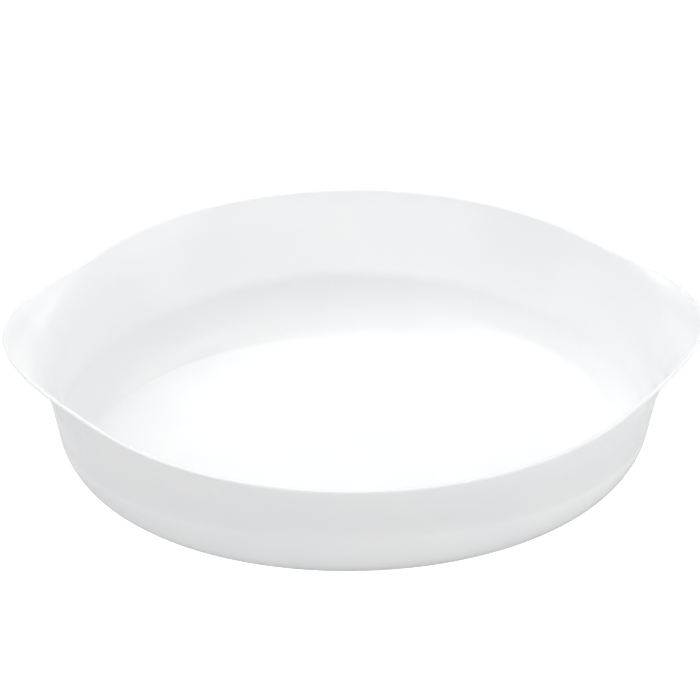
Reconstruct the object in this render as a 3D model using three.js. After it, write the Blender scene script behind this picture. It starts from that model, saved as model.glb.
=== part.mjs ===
// Bedpan: an open, shallow, nearly round pan, moulded in one piece from glossy white polypropylene.
// A leaning wall steps in at a soft shoulder and runs down into a cove and a flat floor, and on the
// left and right the top of the wall turns outwards into a broad lip that the pan is carried by.
//
// Millimetres, +Z up. The origin is the middle of the base, on the surface that the pan stands on.
// +X runs to the tip of one lip and +Y to the far side of the bowl.

import * as THREE from "three";

// Driving dimensions
const LENGTH_OVER_LIPS = 400;
const RIM_LENGTH = 360; // outside of the rim from left to right, as it would be without the lips
const RIM_DEPTH = 337; // outside of the rim from front to back
const RIM_HEIGHT = 80; // top of the rim at the front and at the back
const FLOOR_LENGTH = 307; // edge of the flat floor, left to right
const FLOOR_DEPTH = 250; // edge of the flat floor, front to back
const WALL = 2.6; // thickness of the wall and of the floor; a little more at the shoulder

// Cove between the wall and the floor: an arc that meets the floor at a slight slope, as a crease
const COVE_RADIUS_FRONT = 41; // also at the back
const COVE_RADIUS_SIDE = 37;
const COVE_SLOPE = THREE.MathUtils.degToRad(35);

// Shoulder above the cove, where the wall's lean grows on the way up. It dies out towards the sides,
// where the wall is nearly as steep above it as below.
const SHOULDER_LEAN_FRONT = THREE.MathUtils.degToRad(2); // of the wall just below it, front and back
const SHOULDER_LEAN_SIDE = THREE.MathUtils.degToRad(9);
const SHOULDER_REACH_BELOW = 2.5; // from the corner down to the cove's top
const SHOULDER_REACH_INSIDE = 3.5; // from the corner up to the end of its rounding, inside the pan
const SHOULDER_REACH_OUTSIDE = 14;
const RIM_TURN_IN = 1.5; // how far inside of the wall's own line the rim's front and back stand

// Lips
const LIP_RISE = 5; // how far a lip's tip stands above the rest of the rim
const LIP_HALF_ANGLE = THREE.MathUtils.degToRad(38.2); // from the tip to where the lip has died out
const LIP_FADE = 1.5; // power of the raised cosine that a lip dies out by
const FLARE_HEIGHT = 30; // the top stretch of the wall, which turns outwards into the lip
const FLARE_BEND = 0.75; // how far up that stretch the bend is centred

// Gate recess in the middle of the base, with the stub that the mould's feed leaves in it
const RECESS_RADIUS = 11;
const RECESS_DEPTH = 0.8;
const GATE_RADIUS = 1.6;
const GATE_HEIGHT = 0.5;

// Facets
const STEPS_AROUND = 96;
const STEPS_COVE = 5;
const STEPS_SHOULDER = 3;
const STEPS_FLARE = 5;
const STEPS_RIM_EDGE = 4;

// Polar radius of an ellipse at an angle about its centre.
function ellipseRadius(angle, length, depth) {
  return 0.5 / Math.hypot(Math.cos(angle) / length, Math.sin(angle) / depth);
}

// How much lip there is at an angle: 1 at a tip, 0 where the lip has died out.
function lipShare(angle) {
  const fromTip = Math.atan2(Math.abs(Math.sin(angle)), Math.abs(Math.cos(angle)));
  const turn = Math.min(fromTip / LIP_HALF_ANGLE, 1);
  return ((1 + Math.cos(Math.PI * turn)) / 2) ** LIP_FADE;
}

// A point midway through the wall, as radius and height, and the step from it to the outside.
// The lean is the wall's, measured from the vertical.
function wallPoint(radius, height, lean) {
  const across = new THREE.Vector2(Math.cos(lean), -Math.sin(lean));
  return { middle: new THREE.Vector2(radius, height), across: across.multiplyScalar(WALL / 2) };
}

// The way up the wall, as radius and height, where the wall leans out by an angle.
function upwards(lean) {
  return new THREE.Vector2(Math.sin(lean), Math.cos(lean));
}

// The crease where the cove's end meets the flat floor, mitred between the two.
function creasePoint(radius) {
  const across = new THREE.Vector2(Math.tan(COVE_SLOPE / 2), -1);
  return { middle: new THREE.Vector2(radius, WALL / 2), across: across.multiplyScalar(WALL / 2) };
}

// Wall points round a soft corner, along the curve that touches both of its sides.
function bend(start, corner, end, steps) {
  const curve = new THREE.QuadraticBezierCurve(start, corner, end);
  const points = [];
  for (let i = 0; i <= steps; i++) {
    const point = curve.getPoint(i / steps);
    const along = curve.getTangent(i / steps);
    points.push(wallPoint(point.x, point.y, Math.atan2(along.x, along.y)));
  }
  return points;
}

// The middle of the wall from the floor's edge up to the rim, in the upright plane at one angle. The
// shoulder's rounding reaches as far above its corner as given.
function wallProfile(angle, shoulderReach) {
  const sideways = Math.cos(angle) ** 2;
  const floorEdge = ellipseRadius(angle, FLOOR_LENGTH, FLOOR_DEPTH);
  const coveRadius = THREE.MathUtils.lerp(COVE_RADIUS_FRONT, COVE_RADIUS_SIDE, sideways);
  const shoulderLean = THREE.MathUtils.lerp(SHOULDER_LEAN_FRONT, SHOULDER_LEAN_SIDE, sideways);
  const coveCentre = new THREE.Vector2(
    floorEdge - coveRadius * Math.sin(COVE_SLOPE),
    WALL / 2 + coveRadius * Math.cos(COVE_SLOPE),
  );
  const points = [creasePoint(floorEdge)];
  const floorLean = Math.PI / 2 - COVE_SLOPE;
  for (let i = 1; i <= STEPS_COVE; i++) {
    const lean = THREE.MathUtils.lerp(floorLean, shoulderLean, i / STEPS_COVE);
    const radius = coveCentre.x + coveRadius * Math.cos(lean);
    const height = coveCentre.y - coveRadius * Math.sin(lean);
    points.push(wallPoint(radius, height, lean));
  }

  // The cove's top runs straight on into the corner. From there the wall heads for a point that the
  // rim's front and back stand a little inside of.
  const coveTop = points[points.length - 1].middle;
  const corner = coveTop.clone().addScaledVector(upwards(shoulderLean), SHOULDER_REACH_BELOW);
  const rimRadius = ellipseRadius(angle, RIM_LENGTH, RIM_DEPTH) - WALL / 2;
  const rimHeight = RIM_HEIGHT - WALL / 2;
  const aim = rimRadius + RIM_TURN_IN * (1 - sideways);
  const wallLean = Math.atan2(aim - corner.x, rimHeight - corner.y);
  const shoulderTop = corner.clone().addScaledVector(upwards(wallLean), shoulderReach);
  points.push(...bend(coveTop, corner, shoulderTop, STEPS_SHOULDER).slice(1));

  // The flare leaves the wall along the wall's own line and ends at the rim.
  const wallAt = (height) =>
    new THREE.Vector2(aim - (rimHeight - height) * Math.tan(wallLean), height);
  const share = lipShare(angle);
  const flareFoot = rimHeight - FLARE_HEIGHT;
  const lipTop = rimHeight + LIP_RISE * share;
  const lipReach = ((LENGTH_OVER_LIPS - RIM_LENGTH) / 2) * share;
  const flareCorner = wallAt(THREE.MathUtils.lerp(flareFoot, lipTop, FLARE_BEND));
  const flareEnd = new THREE.Vector2(rimRadius + lipReach, lipTop);
  points.push(...bend(wallAt(flareFoot), flareCorner, flareEnd, STEPS_FLARE));
  return points;
}

// The half-round edge of the rim, from the inside over the top to the outside.
function rimEdge({ middle, across }) {
  const over = new THREE.Vector2(-across.y, across.x);
  const points = [];
  for (let i = 1; i < STEPS_RIM_EDGE; i++) {
    const turn = (Math.PI * i) / STEPS_RIM_EDGE;
    const point = middle.clone().addScaledVector(across, -Math.cos(turn));
    points.push(point.addScaledVector(over, Math.sin(turn)));
  }
  return points;
}

// One whole section of the shell at an angle, from near the middle of the floor, up the inside,
// over the rim, down the outside and back to near the middle of the base.
function section(angle) {
  const insideProfile = wallProfile(angle, SHOULDER_REACH_INSIDE);
  const outsideProfile = wallProfile(angle, SHOULDER_REACH_OUTSIDE);
  const inside = insideProfile.map(({ middle, across }) => middle.clone().sub(across));
  const outside = outsideProfile.map(({ middle, across }) => middle.clone().add(across));
  const floorMiddle = new THREE.Vector2(inside[0].x / 2, WALL);
  const base = [
    new THREE.Vector2(outside[0].x / 2, 0),
    new THREE.Vector2(RECESS_RADIUS, 0),
    new THREE.Vector2(RECESS_RADIUS - RECESS_DEPTH, RECESS_DEPTH),
    new THREE.Vector2(GATE_RADIUS, RECESS_DEPTH),
    new THREE.Vector2(GATE_RADIUS, RECESS_DEPTH - GATE_HEIGHT),
  ];
  const edge = rimEdge(insideProfile[insideProfile.length - 1]);
  return [floorMiddle, ...inside, ...edge, ...outside.reverse(), ...base];
}

// Closed surface through the sections at even angles, with a fan of triangles at both middles.
function shellGeometry() {
  const positions = [];
  const indices = [];
  const ringSize = section(0).length;
  for (let step = 0; step < STEPS_AROUND; step++) {
    const angle = (2 * Math.PI * step) / STEPS_AROUND;
    for (const point of section(angle)) {
      positions.push(point.x * Math.cos(angle), point.x * Math.sin(angle), point.y);
    }
  }
  const floorCentre = STEPS_AROUND * ringSize;
  positions.push(0, 0, WALL);
  const baseCentre = floorCentre + 1;
  positions.push(0, 0, RECESS_DEPTH - GATE_HEIGHT);

  for (let step = 0; step < STEPS_AROUND; step++) {
    const here = step * ringSize;
    const next = ((step + 1) % STEPS_AROUND) * ringSize;
    indices.push(floorCentre, here, next);
    for (let i = 0; i < ringSize - 1; i++) {
      indices.push(here + i, here + i + 1, next + i);
      indices.push(here + i + 1, next + i + 1, next + i);
    }
    indices.push(baseCentre, next + ringSize - 1, here + ringSize - 1);
  }

  const geometry = new THREE.BufferGeometry();
  geometry.setAttribute("position", new THREE.Float32BufferAttribute(positions, 3));
  geometry.setIndex(indices);
  geometry.computeVertexNormals();
  return geometry;
}

const whitePlastic = new THREE.MeshStandardMaterial({
  color: 0xf3f5f7,
  roughness: 0.28,
  metalness: 0,
});

const pan = new THREE.Mesh(shellGeometry(), whitePlastic);
pan.name = "pan";

const bedpan = new THREE.Group();
bedpan.add(pan);

export default bedpan;
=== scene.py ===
import math

import bpy
import numpy as np
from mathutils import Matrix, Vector


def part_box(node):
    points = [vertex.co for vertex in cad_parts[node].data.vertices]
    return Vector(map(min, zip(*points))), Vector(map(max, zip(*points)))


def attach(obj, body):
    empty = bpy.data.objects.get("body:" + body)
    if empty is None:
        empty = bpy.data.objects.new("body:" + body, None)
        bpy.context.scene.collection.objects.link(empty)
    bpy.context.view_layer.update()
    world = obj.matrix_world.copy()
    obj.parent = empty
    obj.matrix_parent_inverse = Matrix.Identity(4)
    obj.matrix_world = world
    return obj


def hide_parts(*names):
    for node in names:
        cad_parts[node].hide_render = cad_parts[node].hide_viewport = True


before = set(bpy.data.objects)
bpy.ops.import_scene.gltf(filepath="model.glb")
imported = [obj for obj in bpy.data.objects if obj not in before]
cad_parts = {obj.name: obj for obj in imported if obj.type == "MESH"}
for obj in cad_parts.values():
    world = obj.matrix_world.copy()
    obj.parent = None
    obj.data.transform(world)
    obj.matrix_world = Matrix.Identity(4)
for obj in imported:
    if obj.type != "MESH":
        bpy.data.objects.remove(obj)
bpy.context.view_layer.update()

# Sizes in metres. The outer sizes come from the frame, and the rest from the pan's own design.
BOX_LOW, BOX_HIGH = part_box("pan")
LENGTH_OVER_LIPS = round(BOX_HIGH.x - BOX_LOW.x, 3)
RIM_DEPTH = round(BOX_HIGH.y - BOX_LOW.y, 3)  # outside of the rim from front to back
LIP_TOP = round(BOX_HIGH.z - BOX_LOW.z, 3)
LIP_RISE = 0.005  # how far a lip's tip stands above the rest of the rim
LIP_REACH = 0.020  # how far a lip's tip stands out from the rim's own ellipse
RIM_HEIGHT = LIP_TOP - LIP_RISE
RIM_LENGTH = LENGTH_OVER_LIPS - 2 * LIP_REACH
FLOOR_LENGTH = 0.307
FLOOR_DEPTH = 0.250
WALL = 0.0026

# Cove between the wall and the floor, which it meets at a slope, with a small arc for the crease
COVE_RADIUS_FRONT = 0.041  # also at the back
COVE_RADIUS_SIDE = 0.037
COVE_SLOPE = math.radians(35)
CREASE_RADIUS = 0.0018

# Shoulder above the cove, where the wall's lean grows on the way up
SHOULDER_LEAN_FRONT = math.radians(2)  # of the wall just below it, front and back
SHOULDER_LEAN_SIDE = math.radians(9)
SHOULDER_REACH_BELOW = 0.0025  # from the corner down to the cove's top
SHOULDER_REACH_INSIDE = 0.0035  # from the corner up to the end of its rounding, inside the pan
SHOULDER_REACH_OUTSIDE = 0.014
RIM_TURN_IN = 0.0015  # how far inside of the wall's own line the rim's front and back stand

LIP_HALF_ANGLE = math.radians(38.2)  # from a lip's tip to where the lip has died out
LIP_FADE = 1.5  # power of the raised cosine that a lip dies out by
FLARE_HEIGHT = 0.030  # the top stretch of the wall, which turns outwards into the lip
FLARE_BEND = 0.75  # how far up that stretch the bend is centred

# Gate recess in the middle of the base, and the stub that the mould's feed leaves in it
RECESS_RADIUS = 0.011
RECESS_DEPTH = 0.0008
GATE_RADIUS = 0.0016
GATE_HEIGHT = 0.0005
RECESS_EASING = [(0, 0), (0.3, 0.1), (0.7, 0.9), (1, 1)]  # shares of its depth, inwards and up
GATE_EASING = [(1, 0), (0.95, 0.9), (0.85, 1)]  # shares of the stub's radius and height

# Wear, which only the material shows
RIM_WEAR_REACH = 0.006
BASE_WEAR = 0.8  # as a share of the wear at the rim
BASE_WEAR_START = 0.110  # radius from which the base is worn in full
BASE_WEAR_REACH = 0.004

STEPS_AROUND = 384
STEPS_CREASE = 4
STEPS_COVE = 22
STEPS_SHOULDER = 8
STEPS_WALL = 6
STEPS_FLARE = 18
STEPS_RIM_EDGE = 10
FLOOR_RINGS = (0.02, 0.35, 0.7, 0.93)  # shares of the way from the middle to the floor's edge
BASE_RINGS = (0.93, 0.7, 0.35)


# The pan's shell -----------------------------------------------------------------------------


def ellipse_radius(angle, length, depth):
    """Polar radius of an ellipse at an angle about its centre."""
    return 0.5 / math.hypot(math.cos(angle) / length, math.sin(angle) / depth)


def lip_share(angle):
    """How much lip there is at an angle: 1 at a tip, 0 where the lip has died out."""
    from_tip = math.atan2(abs(math.sin(angle)), abs(math.cos(angle)))
    turn = min(from_tip / LIP_HALF_ANGLE, 1.0)
    return ((1 + math.cos(math.pi * turn)) / 2) ** LIP_FADE


def mix(a, b, share):
    """The value a share of the way from a to b."""
    return a + (b - a) * share


def wall_point(radius, height, lean):
    """A point midway through the wall, and the step from it to the outside."""
    middle = np.array([radius, height])
    across = np.array([math.cos(lean), -math.sin(lean)]) * WALL / 2
    return middle, across


def direction(lean):
    """The way up the wall, as radius and height, for a wall that leans out by an angle."""
    return np.array([math.sin(lean), math.cos(lean)])


def bend(start, corner, end, steps):
    """Wall points round a soft corner, along the curve that touches both of its sides."""
    points = []
    for i in range(steps + 1):
        t = i / steps
        middle = start * (1 - t) ** 2 + corner * 2 * t * (1 - t) + end * t**2
        along = (corner - start) * (1 - t) + (end - corner) * t
        points.append(wall_point(*middle, math.atan2(*along)))
    return points


def crease(radius):
    """The small arc that joins the flat floor to the cove's lower end."""
    reach = CREASE_RADIUS * math.tan(COVE_SLOPE / 2)
    points = []
    for i in range(STEPS_CREASE + 1):
        slope = COVE_SLOPE * i / STEPS_CREASE
        along = CREASE_RADIUS * math.sin(slope) - reach
        rise = CREASE_RADIUS * (1 - math.cos(slope))
        points.append(wall_point(radius + along, WALL / 2 + rise, math.pi / 2 - slope))
    return points


def wall_profile(angle, shoulder_reach):
    """The middle of the wall from the floor's edge up to the rim, in the upright plane at one angle.
    The shoulder's rounding reaches as far above its corner as given."""
    sideways = math.cos(angle) ** 2
    floor_edge = ellipse_radius(angle, FLOOR_LENGTH, FLOOR_DEPTH)
    cove_radius = mix(COVE_RADIUS_FRONT, COVE_RADIUS_SIDE, sideways)
    shoulder_lean = mix(SHOULDER_LEAN_FRONT, SHOULDER_LEAN_SIDE, sideways)
    centre_r = floor_edge - cove_radius * math.sin(COVE_SLOPE)
    centre_z = WALL / 2 + cove_radius * math.cos(COVE_SLOPE)

    points = crease(floor_edge)
    for i in range(1, STEPS_COVE + 1):
        lean = mix(math.pi / 2 - COVE_SLOPE, shoulder_lean, i / STEPS_COVE)
        radius = centre_r + cove_radius * math.cos(lean)
        height = centre_z - cove_radius * math.sin(lean)
        points.append(wall_point(radius, height, lean))

    # The cove's top runs straight on into the corner. From there the wall heads for a point that
    # the rim's front and back stand a little inside of.
    cove_top = points[-1][0]
    corner = cove_top + direction(shoulder_lean) * SHOULDER_REACH_BELOW
    rim = np.array([ellipse_radius(angle, RIM_LENGTH, RIM_DEPTH), RIM_HEIGHT]) - WALL / 2
    aim = rim[0] + RIM_TURN_IN * (1 - sideways)
    wall_lean = math.atan2(aim - corner[0], rim[1] - corner[1])
    shoulder_top = corner + direction(wall_lean) * shoulder_reach
    points += bend(cove_top, corner, shoulder_top, STEPS_SHOULDER)[1:]

    def wall_at(height):
        """The point of the straight wall, or of its line carried on, at a height."""
        return np.array([aim - (rim[1] - height) * math.tan(wall_lean), height])

    flare_foot = rim[1] - FLARE_HEIGHT
    for i in range(1, STEPS_WALL):
        radius, height = wall_at(mix(shoulder_top[1], flare_foot, i / STEPS_WALL))
        points.append(wall_point(radius, height, wall_lean))

    # The flare leaves the wall along the wall's own line and ends at the rim.
    lip = np.array([LIP_REACH, LIP_RISE]) * lip_share(angle)
    flare_corner = wall_at(mix(flare_foot, rim[1] + lip[1], FLARE_BEND))
    return points + bend(wall_at(flare_foot), flare_corner, rim + lip, STEPS_FLARE)


def rim_edge(middle, across):
    """The half-round edge of the rim, from the inside over the top to the outside."""
    upwards = np.array([-across[1], across[0]])
    turns = [math.pi * i / STEPS_RIM_EDGE for i in range(1, STEPS_RIM_EDGE)]
    return [middle - across * math.cos(turn) + upwards * math.sin(turn) for turn in turns]


def gate_recess():
    """The recess in the base from its edge inwards, and the stub inside it, with eased edges."""
    wall = [(RECESS_RADIUS - RECESS_DEPTH * way, RECESS_DEPTH * up) for way, up in RECESS_EASING]
    stub = [(GATE_RADIUS * way, RECESS_DEPTH - GATE_HEIGHT * up) for way, up in GATE_EASING]
    return [np.array(point) for point in wall + stub]


def section(angle):
    """One section of the shell: floor, inside, rim, outside and base, as radius and height."""
    profile = wall_profile(angle, SHOULDER_REACH_INSIDE)
    inside = [middle - across for middle, across in profile]
    outside = [middle + across for middle, across in wall_profile(angle, SHOULDER_REACH_OUTSIDE)]
    edge = rim_edge(*profile[-1])
    floor = [np.array([inside[0][0] * share, WALL]) for share in FLOOR_RINGS]
    base = [np.array([outside[0][0] * share, 0.0]) for share in BASE_RINGS]
    return floor + inside + edge + outside[::-1] + base + gate_recess()


def fade(distance, reach):
    """1 at no distance, falling smoothly to 0 at the reach."""
    share = min(distance / reach, 1.0)
    return (1 + math.cos(math.pi * share)) / 2


def wear_at(radius, height, rim_radius, rim_height):
    """How worn the shell is at a point: along the rim's edge, and over the outer part of the base."""
    from_rim = math.hypot(radius - rim_radius, height - rim_height)
    from_base = height + max(BASE_WEAR_START - radius, 0.0)
    return max(fade(from_rim, RIM_WEAR_REACH), BASE_WEAR * fade(from_base, BASE_WEAR_REACH))


def build_shell():
    """The whole pan as one closed mesh: rings of quads, and a fan in the middle of floor and base."""
    angles = [2 * math.pi * step / STEPS_AROUND for step in range(STEPS_AROUND)]
    sections = [section(angle) for angle in angles]
    ring = len(sections[0])
    verts = []
    wear = []
    for angle, points in zip(angles, sections):
        rim_radius, rim_height = max(points, key=lambda point: point[1])
        for radius, height in points:
            verts.append((radius * math.cos(angle), radius * math.sin(angle), height))
            wear.append(wear_at(radius, height, rim_radius, rim_height))
    floor_centre = len(verts)
    verts.append((0.0, 0.0, WALL))
    base_centre = len(verts)
    verts.append((0.0, 0.0, RECESS_DEPTH - GATE_HEIGHT))
    wear += [0.0, 0.0]

    faces = []
    for step in range(STEPS_AROUND):
        here = step * ring
        beside = (step + 1) % STEPS_AROUND * ring
        faces.append((floor_centre, here, beside))
        for i in range(ring - 1):
            faces.append((here + i, here + i + 1, beside + i + 1, beside + i))
        faces.append((base_centre, beside + ring - 1, here + ring - 1))

    mesh = bpy.data.meshes.new("pan_shell")
    mesh.from_pydata(verts, [], faces)
    mesh.shade_smooth()
    mesh.attributes.new("wear", "FLOAT", "POINT").data.foreach_set("value", wear)
    mesh.update()
    shell = bpy.data.objects.new("pan_shell", mesh)
    bpy.context.scene.collection.objects.link(shell)
    return shell


# Material ------------------------------------------------------------------------------------

WHITE_COOL = (0.918, 0.930, 0.947)
WHITE_WARM = (0.940, 0.944, 0.946)
WHITE_SPECK = (0.905, 0.910, 0.915)
WHITE_WORN = (0.870, 0.872, 0.868)

# Features of the material and its surface relief, in metres
CLOUD_SIZE = 0.045
SPECK_SIZE = 0.0012
SMUDGE_SIZE = 0.030
WAVE_SIZE = 0.009
WAVE_HEIGHT = 0.00005
GRAIN_SIZE = 0.0007
GRAIN_HEIGHT = 0.000004
WEAR_PATCH_SIZE = 0.040
SCRATCH_PATCH_SIZE = 0.040
SCRATCH_DEPTH = 0.000001
SCRATCH_WIDTH = 0.0008
SCRATCH_STRETCH = 40
SCRATCH_RISE = 0.004  # how far up from the floor the marks die out
SCRATCH_TURNS = [math.radians(turn) for turn in (12, 58, 101, 147)]

# Values of the noise at which each pattern starts and is full
SOFT_RANGE = (0.3, 0.7)
SPECK_RANGE = (0.62, 0.80)
SCRATCH_RANGE = (0.70, 0.78)
SCRATCH_PATCH_RANGE = (0.45, 0.65)

SPECK_STRENGTH = 0.5
LEAST_WEAR = 0.6  # in the least worn patches of an edge
GREYING_BY_WEAR = 0.08
GLOSSIEST = 0.16
DULLEST = 0.25
DULLING_BY_WEAR = 0.04
DULLING_BY_SCRATCHES = 0.05

PLASTIC_IOR = 1.49
SUBSURFACE_SHARE = 0.1
SUBSURFACE_DEPTH = 0.001
SUBSURFACE_COLOURS = (1.0, 0.95, 0.9)  # how far each colour goes, as a share of the depth

# The mix node's sockets for colours
MIX_FIRST = 6
MIX_SECOND = 7
MIX_RESULT = 2


def add_node(tree, kind, inputs=None, **settings):
    """A shader node. Its inputs take plain values or another node's output socket."""
    node = tree.nodes.new(kind)
    for name, value in settings.items():
        setattr(node, name, value)
    for name, value in (inputs or {}).items():
        if isinstance(value, bpy.types.NodeSocket):
            tree.links.new(value, node.inputs[name])
        else:
            node.inputs[name].default_value = value
    return node


def noise(tree, wavelength, detail=2.0, stretch=(1, 1, 1), turn=0.0):
    """Noise of about 0 to 1 with features of a size in metres, stretched along turned axes."""
    place = add_node(tree, "ShaderNodeTexCoord").outputs["Object"]
    turned = add_node(
        tree,
        "ShaderNodeMapping",
        {"Vector": place, "Rotation": (0, 0, turn), "Scale": stretch},
        vector_type="TEXTURE",
    )
    inputs = {"Vector": turned.outputs[0], "Scale": 1 / wavelength, "Detail": detail}
    return add_node(tree, "ShaderNodeTexNoise", inputs).outputs["Fac"]


def rescale(tree, value, low, high, to_low=0.0, to_high=1.0):
    """The value taken smoothly from one range to another, and held at the ends."""
    inputs = {
        "Value": value, "From Min": low, "From Max": high, "To Min": to_low, "To Max": to_high
    }
    node = add_node(tree, "ShaderNodeMapRange", inputs, interpolation_type="SMOOTHSTEP")
    return node.outputs["Result"]


def calculate(tree, operation, first, second=0.0):
    """The outcome of a math node on plain values or other nodes' outputs."""
    node = add_node(tree, "ShaderNodeMath", operation=operation)
    for socket, value in zip(node.inputs, (first, second)):
        if isinstance(value, bpy.types.NodeSocket):
            tree.links.new(value, socket)
        else:
            socket.default_value = value
    return node.outputs[0]


def mix_colours(tree, share, first, second):
    """The colour a share of the way from the first to the second."""
    node = add_node(tree, "ShaderNodeMix", {"Factor": share}, data_type="RGBA")
    for number, value in ((MIX_FIRST, first), (MIX_SECOND, second)):
        socket = node.inputs[number]
        if isinstance(value, bpy.types.NodeSocket):
            tree.links.new(value, socket)
        else:
            socket.default_value = (*value, 1)
    return node.outputs[MIX_RESULT]


def scratches(tree):
    """Fine straight rubbing marks on the floor and the base, in patches, from 0 to 1."""
    marks = 0.0
    for turn in SCRATCH_TURNS:
        lines = noise(tree, SCRATCH_WIDTH, 0.0, (SCRATCH_STRETCH, 1, 1), turn)
        thin = rescale(tree, lines, *SCRATCH_RANGE)
        marks = calculate(tree, "MAXIMUM", marks, thin)
    patches = rescale(tree, noise(tree, SCRATCH_PATCH_SIZE), *SCRATCH_PATCH_RANGE)
    place = add_node(tree, "ShaderNodeTexCoord").outputs["Object"]
    height = add_node(tree, "ShaderNodeSeparateXYZ", {"Vector": place}).outputs["Z"]
    level = rescale(tree, height, WALL, WALL + SCRATCH_RISE, 1.0, 0.0)
    return calculate(tree, "MULTIPLY", marks, calculate(tree, "MULTIPLY", patches, level))


def bump(tree, height, distance, normal=None):
    """Relief of a height pattern that spans a distance, on top of any relief given."""
    inputs = {"Height": height, "Distance": distance}
    if normal:
        inputs["Normal"] = normal
    return add_node(tree, "ShaderNodeBump", inputs).outputs["Normal"]


def white_plastic():
    """Glossy white polypropylene. Its colour is a little cloudy with fine specks, its skin is faintly
    wavy and grained, and use leaves thin marks, and a slightly duller, greyer rim and base."""
    material = bpy.data.materials.new("white_plastic")
    material.use_nodes = True
    tree = material.node_tree
    shader = tree.nodes["Principled BSDF"]
    wear = add_node(tree, "ShaderNodeAttribute", attribute_name="wear").outputs["Fac"]
    patchy = rescale(tree, noise(tree, WEAR_PATCH_SIZE, 1.0), *SOFT_RANGE, LEAST_WEAR, 1.0)
    worn = calculate(tree, "MULTIPLY", wear, patchy)
    marks = scratches(tree)

    clouds = rescale(tree, noise(tree, CLOUD_SIZE, 3.0), *SOFT_RANGE)
    colour = mix_colours(tree, clouds, WHITE_COOL, WHITE_WARM)
    specks = rescale(tree, noise(tree, SPECK_SIZE), *SPECK_RANGE, 0.0, SPECK_STRENGTH)
    colour = mix_colours(tree, specks, colour, WHITE_SPECK)
    greying = calculate(tree, "MULTIPLY", worn, GREYING_BY_WEAR)
    colour = mix_colours(tree, greying, colour, WHITE_WORN)
    tree.links.new(colour, shader.inputs["Base Color"])

    rough = rescale(tree, noise(tree, SMUDGE_SIZE, 4.0), *SOFT_RANGE, GLOSSIEST, DULLEST)
    for pattern, dulling in ((worn, DULLING_BY_WEAR), (marks, DULLING_BY_SCRATCHES)):
        rough = calculate(tree, "ADD", rough, calculate(tree, "MULTIPLY", pattern, dulling))
    tree.links.new(rough, shader.inputs["Roughness"])

    wavy = bump(tree, noise(tree, WAVE_SIZE, 1.0), WAVE_HEIGHT)
    grained = bump(tree, noise(tree, GRAIN_SIZE), GRAIN_HEIGHT, wavy)
    marked = bump(tree, marks, -SCRATCH_DEPTH, grained)
    tree.links.new(marked, shader.inputs["Normal"])

    shader.inputs["IOR"].default_value = PLASTIC_IOR
    shader.inputs["Subsurface Weight"].default_value = SUBSURFACE_SHARE
    shader.inputs["Subsurface Radius"].default_value = SUBSURFACE_COLOURS
    shader.inputs["Subsurface Scale"].default_value = SUBSURFACE_DEPTH
    return material


# Scene ---------------------------------------------------------------------------------------

BOARD_HALF = 6.0
BOARD_GAP = 0.0002  # under the pan's base
BOARD_ROUGHNESS = 0.9
FLOOR_REFLECTANCE = 0.30
FLOOR_GLOW = 0.95
BOUNCE_REFLECTANCE = 0.76
BOUNCE_DROP = 0.05

# Panels of the dome: azimuth of the middle, from the front towards +X, and half of the width, then
# lowest and highest elevation, all in degrees, and brightness. A half of 180 is all the way round.
PANELS = [
    (0, 45, -2, 6, 1.5),  # front
    (0, 45, 14, 50, 0.84),
    (90, 45, -2, 14, 1.9),  # right
    (90, 45, 14, 30, 0.7),
    (90, 45, 30, 50, 1.35),
    (180, 45, -2, 14, 0.9),  # back
    (180, 45, 30, 66, 0.6),
    (-90, 45, 30, 66, 2.35),  # left
    (0, 180, 66, 95, 2.05),  # overhead
]
PANEL_SOFTNESS = 3.0

VIEW_AZIMUTH = math.radians(-3.66)
VIEW_ELEVATION = math.radians(30.98)
VIEW_DISTANCE = 2.774
VIEW_LENS = 250.3
VIEW_REACH = 50

# How far from the middle of the rim the camera aims, to the right and down in its own picture
AIM_RIGHT = -0.00234
AIM_DOWN = 0.01016


def add_camera():
    """A long lens, a little to the left of the pan and above it."""
    back = Vector((
        math.sin(VIEW_AZIMUTH) * math.cos(VIEW_ELEVATION),
        -math.cos(VIEW_AZIMUTH) * math.cos(VIEW_ELEVATION),
        math.sin(VIEW_ELEVATION),
    ))
    turn = (-back).to_track_quat("-Z", "Y")
    aim = Vector((0, 0, RIM_HEIGHT)) + turn @ Vector((AIM_RIGHT, -AIM_DOWN, 0))
    data = bpy.data.cameras.new("camera")
    data.lens = VIEW_LENS
    data.clip_end = VIEW_REACH
    camera = bpy.data.objects.new("camera", data)
    camera.location = aim + back * VIEW_DISTANCE
    camera.rotation_mode = "QUATERNION"
    camera.rotation_quaternion = turn
    bpy.context.scene.collection.objects.link(camera)
    bpy.context.scene.camera = camera


def add_board(name, reflectance, glow=0.0):
    """A flat square under the pan, which is part of the stage."""
    corners = [(-BOARD_HALF, -BOARD_HALF), (BOARD_HALF, -BOARD_HALF)]
    corners += [(-x, -y) for x, y in corners]
    mesh = bpy.data.meshes.new(name)
    mesh.from_pydata([(x, y, -BOARD_GAP) for x, y in corners], [], [(0, 1, 2, 3)])
    material = bpy.data.materials.new(name)
    material.use_nodes = True
    shader = material.node_tree.nodes["Principled BSDF"]
    shader.inputs["Base Color"].default_value = (reflectance, reflectance, reflectance, 1)
    shader.inputs["Roughness"].default_value = BOARD_ROUGHNESS
    shader.inputs["Emission Color"].default_value = (1, 1, 1, 1)
    shader.inputs["Emission Strength"].default_value = glow
    mesh.materials.append(material)
    board = bpy.data.objects.new(name, mesh)
    bpy.context.scene.collection.objects.link(board)
    return board


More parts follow.
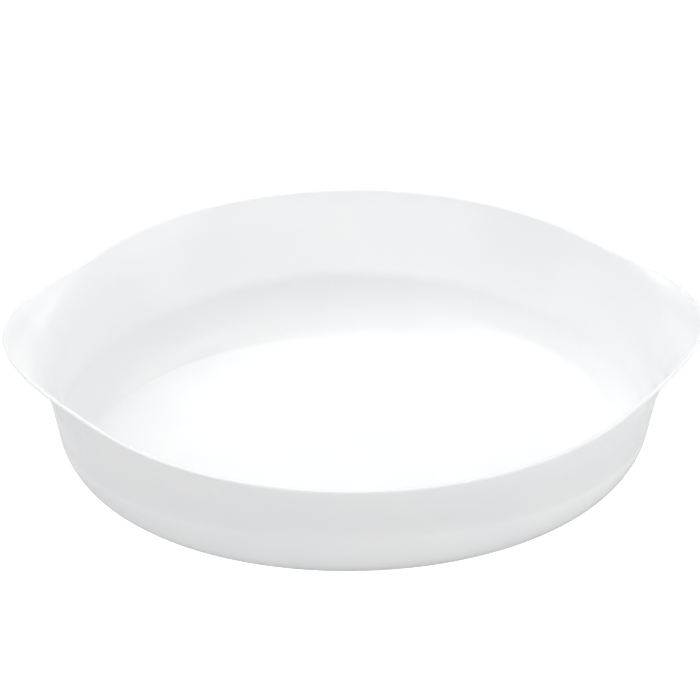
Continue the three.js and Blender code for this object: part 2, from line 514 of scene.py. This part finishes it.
def add_floor():
    """A pale glowing floor, which lights nothing, and a duller board in its place for the bounce."""
    floor = add_board("studio_floor", FLOOR_REFLECTANCE, FLOOR_GLOW)
    floor.visible_diffuse = False
    floor.visible_glossy = False
    floor.visible_transmission = False
    floor.visible_shadow = False
    bounce = add_board("bounce_board", BOUNCE_REFLECTANCE)
    bounce.location.z = -BOUNCE_DROP
    bounce.visible_camera = False


def add_panel(tree, azimuth, elevation, panel):
    """Brightness of one panel of the dome, towards an azimuth and an elevation, with soft edges."""
    middle, half_width, bottom, top, brightness = panel
    rising = rescale(tree, elevation, *soft_edge(bottom))
    falling = rescale(tree, elevation, *soft_edge(top))
    upright = calculate(tree, "SUBTRACT", rising, falling)
    if half_width == 180:
        return calculate(tree, "MULTIPLY", upright, brightness)
    turned = calculate(tree, "SUBTRACT", azimuth, math.radians(middle))
    wrapped = calculate(
        tree, "ARCTAN2", calculate(tree, "SINE", turned), calculate(tree, "COSINE", turned)
    )
    aside = calculate(tree, "ABSOLUTE", wrapped)
    outside = rescale(tree, aside, *soft_edge(half_width))
    across = calculate(tree, "MULTIPLY", calculate(tree, "SUBTRACT", 1.0, outside), brightness)
    return calculate(tree, "MULTIPLY", upright, across)


def soft_edge(degrees):
    """Both ends, in radians, of the soft stretch about a panel's edge."""
    return math.radians(degrees - PANEL_SOFTNESS), math.radians(degrees + PANEL_SOFTNESS)


def light_studio():
    """Soft light from panels on a distant dome."""
    world = bpy.data.worlds.new("studio")
    world.use_nodes = True
    tree = world.node_tree
    way = add_node(tree, "ShaderNodeTexCoord").outputs["Generated"]
    sideways, away, upwards = add_node(tree, "ShaderNodeSeparateXYZ", {"Vector": way}).outputs
    towards = calculate(tree, "MULTIPLY", away, -1.0)
    azimuth = calculate(tree, "ARCTAN2", sideways, towards)
    elevation = calculate(tree, "ARCSINE", upwards)
    total = 0.0
    for panel in PANELS:
        total = calculate(tree, "ADD", total, add_panel(tree, azimuth, elevation, panel))
    background = tree.nodes["Background"]
    background.inputs["Color"].default_value = (1, 1, 1, 1)
    tree.links.new(total, background.inputs["Strength"])
    bpy.context.scene.world = world
    bpy.context.scene.view_settings.view_transform = "Standard"


add_camera()
add_floor()
light_studio()
shell = build_shell()
shell.data.materials.append(white_plastic())
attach(shell, "root")
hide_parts("pan")
